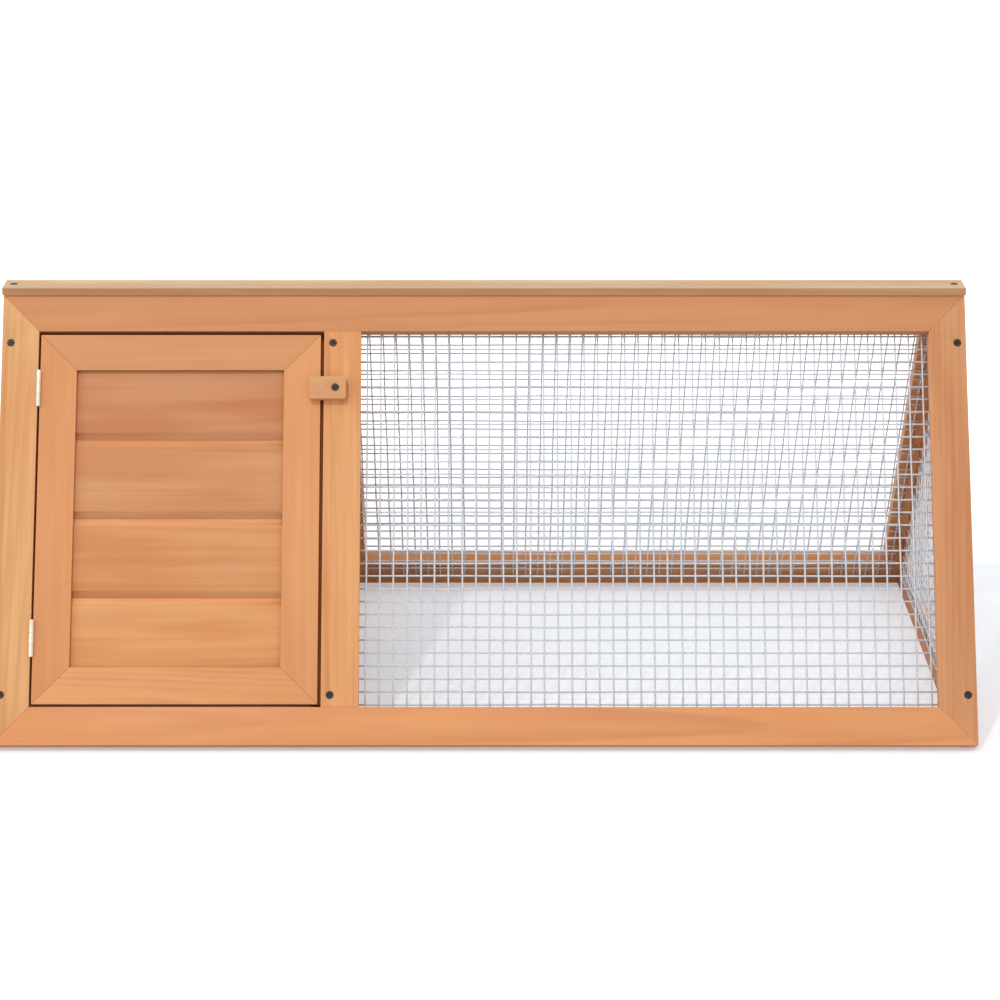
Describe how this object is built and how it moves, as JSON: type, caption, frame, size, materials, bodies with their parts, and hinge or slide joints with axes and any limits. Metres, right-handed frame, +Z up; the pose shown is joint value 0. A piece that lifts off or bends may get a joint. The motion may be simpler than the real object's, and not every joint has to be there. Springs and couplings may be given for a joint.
{
  "type": "rabbit cage",
  "caption": "Triangular wooden rabbit cage with sloping panels of frame and wire mesh, a boarded side door held by a turn button, a sheltered end and an open floor.",
  "frame": {"origin": "centre of the footprint, on the ground", "axes": "+X along the ridge, towards the mesh gable; the panel with the door faces -Y; +Z up"},
  "size_m": [0.982, 0.4884, 0.4145],
  "materials": {
    "panel_timber": "satin honey-stained fir, sawn grain along each member",
    "door_timber": "satin honey-stained fir, sawn grain along each member",
    "board_timber": "satin honey-stained fir boards",
    "gable_timber": "satin honey-stained fir, a little darker",
    "ridge_timber": "matte weathered fir",
    "button_timber": "satin stained fir",
    "mesh_wire": "bright galvanised wire, welded at every crossing",
    "staple_wire": "galvanised",
    "hinge_steel": "bright plated",
    "small_screws": "plated",
    "dark_screws": "black phosphate, satin"
  },
  "bodies": {
    "frame": {"back_board_1": "board_timber", "back_board_2": "board_timber", "back_board_3": "board_timber", "back_board_4": "board_timber", "back_bottom_rail": "panel_timber", "back_left_stile": "panel_timber", "back_mesh": "mesh_wire", "back_middle_stile": "panel_timber", "back_panel_screws": "dark_screws", "back_right_stile": "panel_timber", "back_staples": "staple_wire", "back_top_rail": "panel_timber", "divider_back_board": "board_timber", "divider_back_leg": "gable_timber", "divider_front_board": "board_timber", "divider_front_leg": "gable_timber", "divider_top_board": "board_timber", "door_stop": "gable_timber", "front_bottom_rail": "panel_timber", "front_left_stile": "panel_timber", "front_mesh": "mesh_wire", "front_middle_stile": "panel_timber", "front_panel_screws": "dark_screws", "front_right_stile": "panel_timber", "front_staples": "staple_wire", "front_top_rail": "panel_timber", "hinge_frame_screws": "small_screws", "hinge_lower_frame_leaf": "hinge_steel", "hinge_lower_pin": "hinge_steel", "hinge_upper_frame_leaf": "hinge_steel", "hinge_upper_pin": "hinge_steel", "left_gable_back_leg": "gable_timber", "left_gable_board_1": "board_timber", "left_gable_board_2": "board_timber", "left_gable_board_3": "board_timber", "left_gable_front_leg": "gable_timber", "left_gable_sill": "gable_timber", "ridge_board": "ridge_timber", "ridge_screws": "dark_screws", "right_gable_back_leg": "gable_timber", "right_gable_front_leg": "gable_timber", "right_gable_mesh": "mesh_wire", "right_gable_sill": "gable_timber", "right_gable_staples": "staple_wire", "turn_button_screw": "dark_screws"},
    "door": {"door_top_rail": "door_timber", "door_bottom_rail": "door_timber", "door_hinge_stile": "door_timber", "door_latch_stile": "door_timber", "door_board_1": "board_timber", "door_board_2": "board_timber", "door_board_3": "board_timber", "door_board_4": "board_timber", "hinge_upper_door_leaf": "hinge_steel", "hinge_lower_door_leaf": "hinge_steel", "hinge_door_screws": "small_screws"},
    "turn_button": {"turn_button": "button_timber"}
  },
  "joints": [
    {"name": "door_hinge", "type": "hinge", "parent": "frame", "child": "door", "pos_m": [-0.4514, -0.19323, 0.101], "axis": [0, -0.5, -0.866], "range_deg": [0, 180]},
    {"name": "turn_button_pivot", "type": "hinge", "parent": "frame", "child": "turn_button", "pos_m": [-0.1505, -0.06341, 0.32107], "axis": [0, -0.866, 0.5], "continuous": true}
  ]
}
